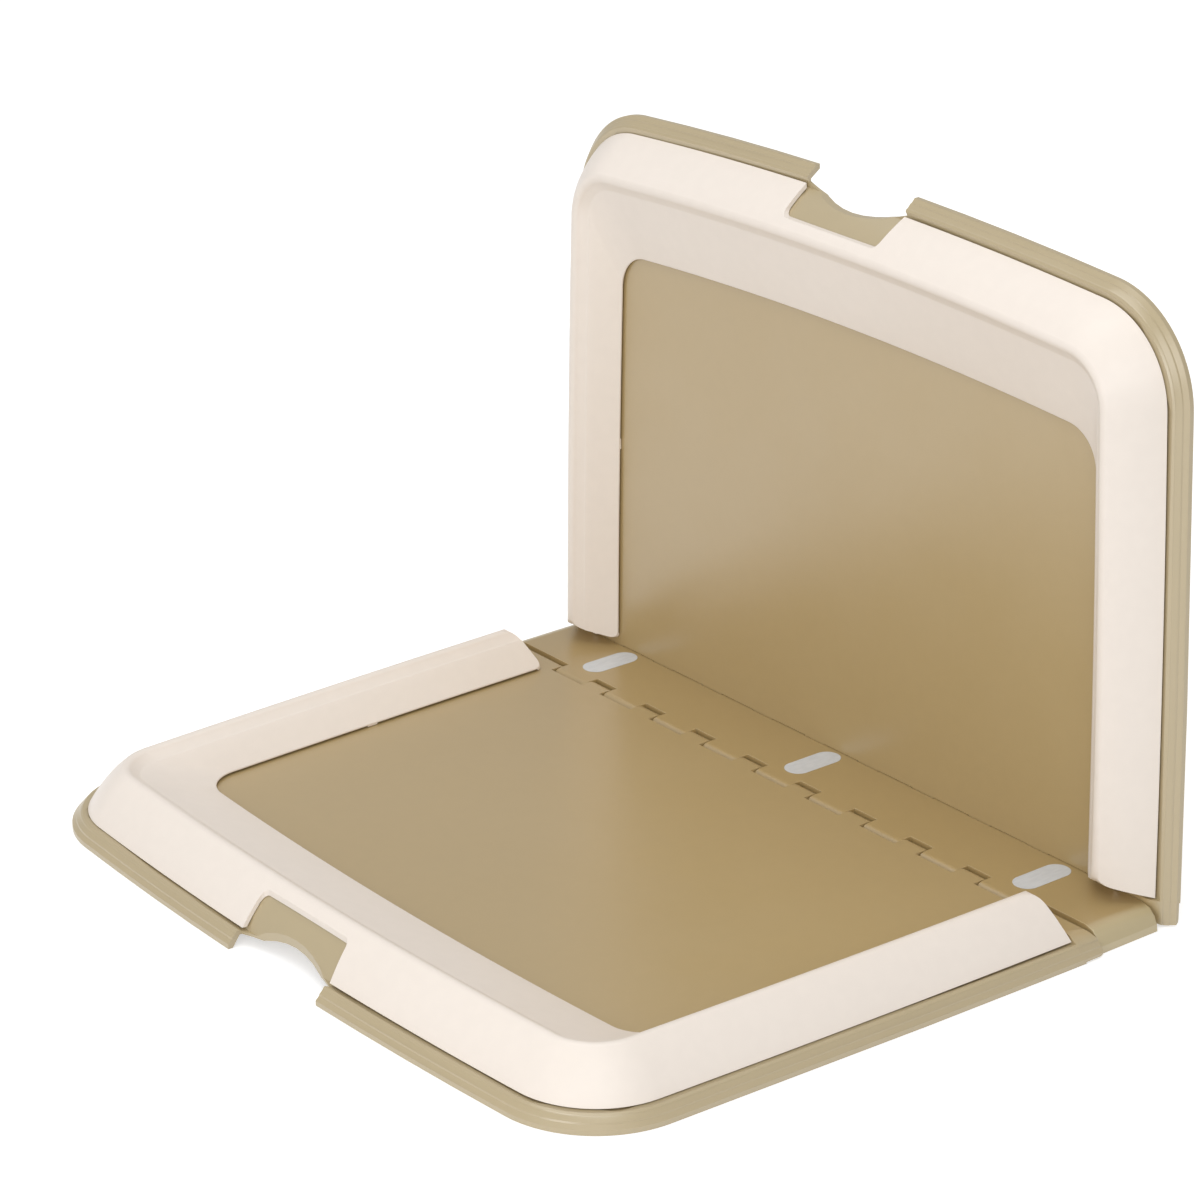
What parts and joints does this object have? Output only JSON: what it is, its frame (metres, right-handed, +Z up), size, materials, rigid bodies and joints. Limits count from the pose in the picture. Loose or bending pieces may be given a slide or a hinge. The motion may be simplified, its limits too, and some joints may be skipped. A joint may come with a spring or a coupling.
{
  "type": "foldable dog potty tray",
  "caption": "Folding pet training tray: two equal rimmed half trays hinged to a flat spine, each with a push-fit U-shaped frame that holds a pad, shown half open.",
  "frame": {"origin": "middle of the bounding box at floor level, in the half-open pose of the picture", "axes": "+X along the hinges to the right, +Y from the flat half tray towards the upright one, +Z up"},
  "size_m": [0.48, 0.3806, 0.3289],
  "materials": {
    "tan_plastic": "satin tan moulding",
    "spine_plastic": "satin darker tan moulding",
    "cream_plastic": "smooth cream moulding",
    "foot_rubber": "matt dark grey"
  },
  "bodies": {
    "base": {"base_tray": "tan_plastic", "base_frame": "cream_plastic", "base_foot_1": "foot_rubber", "base_foot_2": "foot_rubber", "base_foot_3": "foot_rubber", "base_foot_4": "foot_rubber"},
    "fold": {"spine": "spine_plastic", "spine_foot_1": "foot_rubber", "spine_foot_2": "foot_rubber"},
    "lid": {"lid_tray": "tan_plastic", "lid_frame": "cream_plastic", "lid_foot_1": "foot_rubber", "lid_foot_2": "foot_rubber", "lid_foot_3": "foot_rubber", "lid_foot_4": "foot_rubber"}
  },
  "joints": [
    {"name": "base_hinge", "type": "hinge", "parent": "base", "child": "fold", "pos_m": [0, 0.13206, 0.0066], "axis": [1, 0, 0], "range_deg": [0, 90]},
    {"name": "lid_hinge", "type": "hinge", "parent": "fold", "child": "lid", "pos_m": [0, 0.18366, 0.0066], "axis": [1, 0, 0], "range_deg": [-90, 0]}
  ]
}
